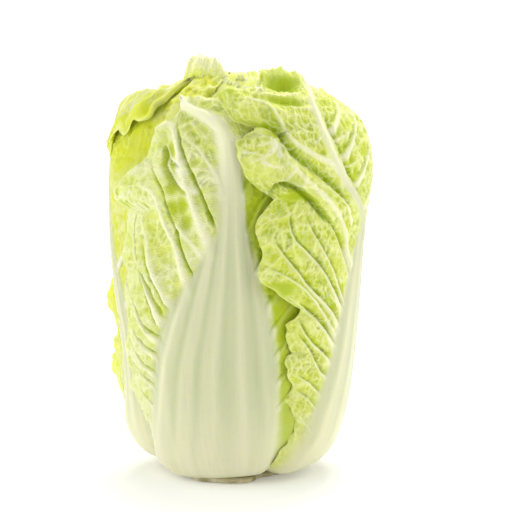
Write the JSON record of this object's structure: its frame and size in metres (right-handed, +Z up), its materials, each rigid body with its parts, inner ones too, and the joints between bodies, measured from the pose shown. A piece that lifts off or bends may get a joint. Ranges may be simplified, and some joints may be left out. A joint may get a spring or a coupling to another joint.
{
  "type": "napa cabbage",
  "caption": "Upright head of napa cabbage on its cut stem: broad white stalks, and thin crinkled pale green leaf blades wrapped round one another in a barrel.",
  "frame": {"origin": "centre of the cut face of the stem, on the surface that the head stands on", "axes": "+Z up through the head, -Y towards the front where the broadest stalk shows, +X to the right seen from the front"},
  "size_m": [0.1764, 0.1797, 0.275],
  "materials": {
    "stem_core": "moist cut plant tissue, cream, browning a little at the cut face",
    "outer_leaf": "waxy leaf, satin: white stalk and ribs, pale yellow-green blade",
    "wrapper_leaf": "waxy leaf, satin: white stalk and ribs, yellow-green blade",
    "heart_leaf": "tender leaf, satin: pale yellow blade and white stalk"
  },
  "bodies": {
    "root": {"stem_core": "stem_core", "outer_leaf_front": "outer_leaf", "outer_leaf_right": "outer_leaf", "outer_leaf_back_right": "outer_leaf", "outer_leaf_back_left": "outer_leaf", "outer_leaf_left": "outer_leaf", "wrapper_leaf_1": "wrapper_leaf", "wrapper_leaf_2": "wrapper_leaf", "wrapper_leaf_3": "wrapper_leaf", "wrapper_leaf_4": "wrapper_leaf", "wrapper_leaf_5": "wrapper_leaf", "inner_leaf_1": "heart_leaf", "inner_leaf_2": "heart_leaf", "inner_leaf_3": "heart_leaf", "inner_leaf_4": "heart_leaf", "inner_leaf_5": "heart_leaf", "heart_leaf_1": "heart_leaf", "heart_leaf_2": "heart_leaf", "heart_leaf_3": "heart_leaf", "heart_leaf_4": "heart_leaf", "heart_leaf_5": "heart_leaf", "bud_leaf_1": "heart_leaf", "bud_leaf_2": "heart_leaf", "bud_leaf_3": "heart_leaf", "bud_leaf_4": "heart_leaf", "centre_leaf_1": "heart_leaf", "centre_leaf_2": "heart_leaf", "centre_leaf_3": "heart_leaf"}
  },
  "joints": []
}
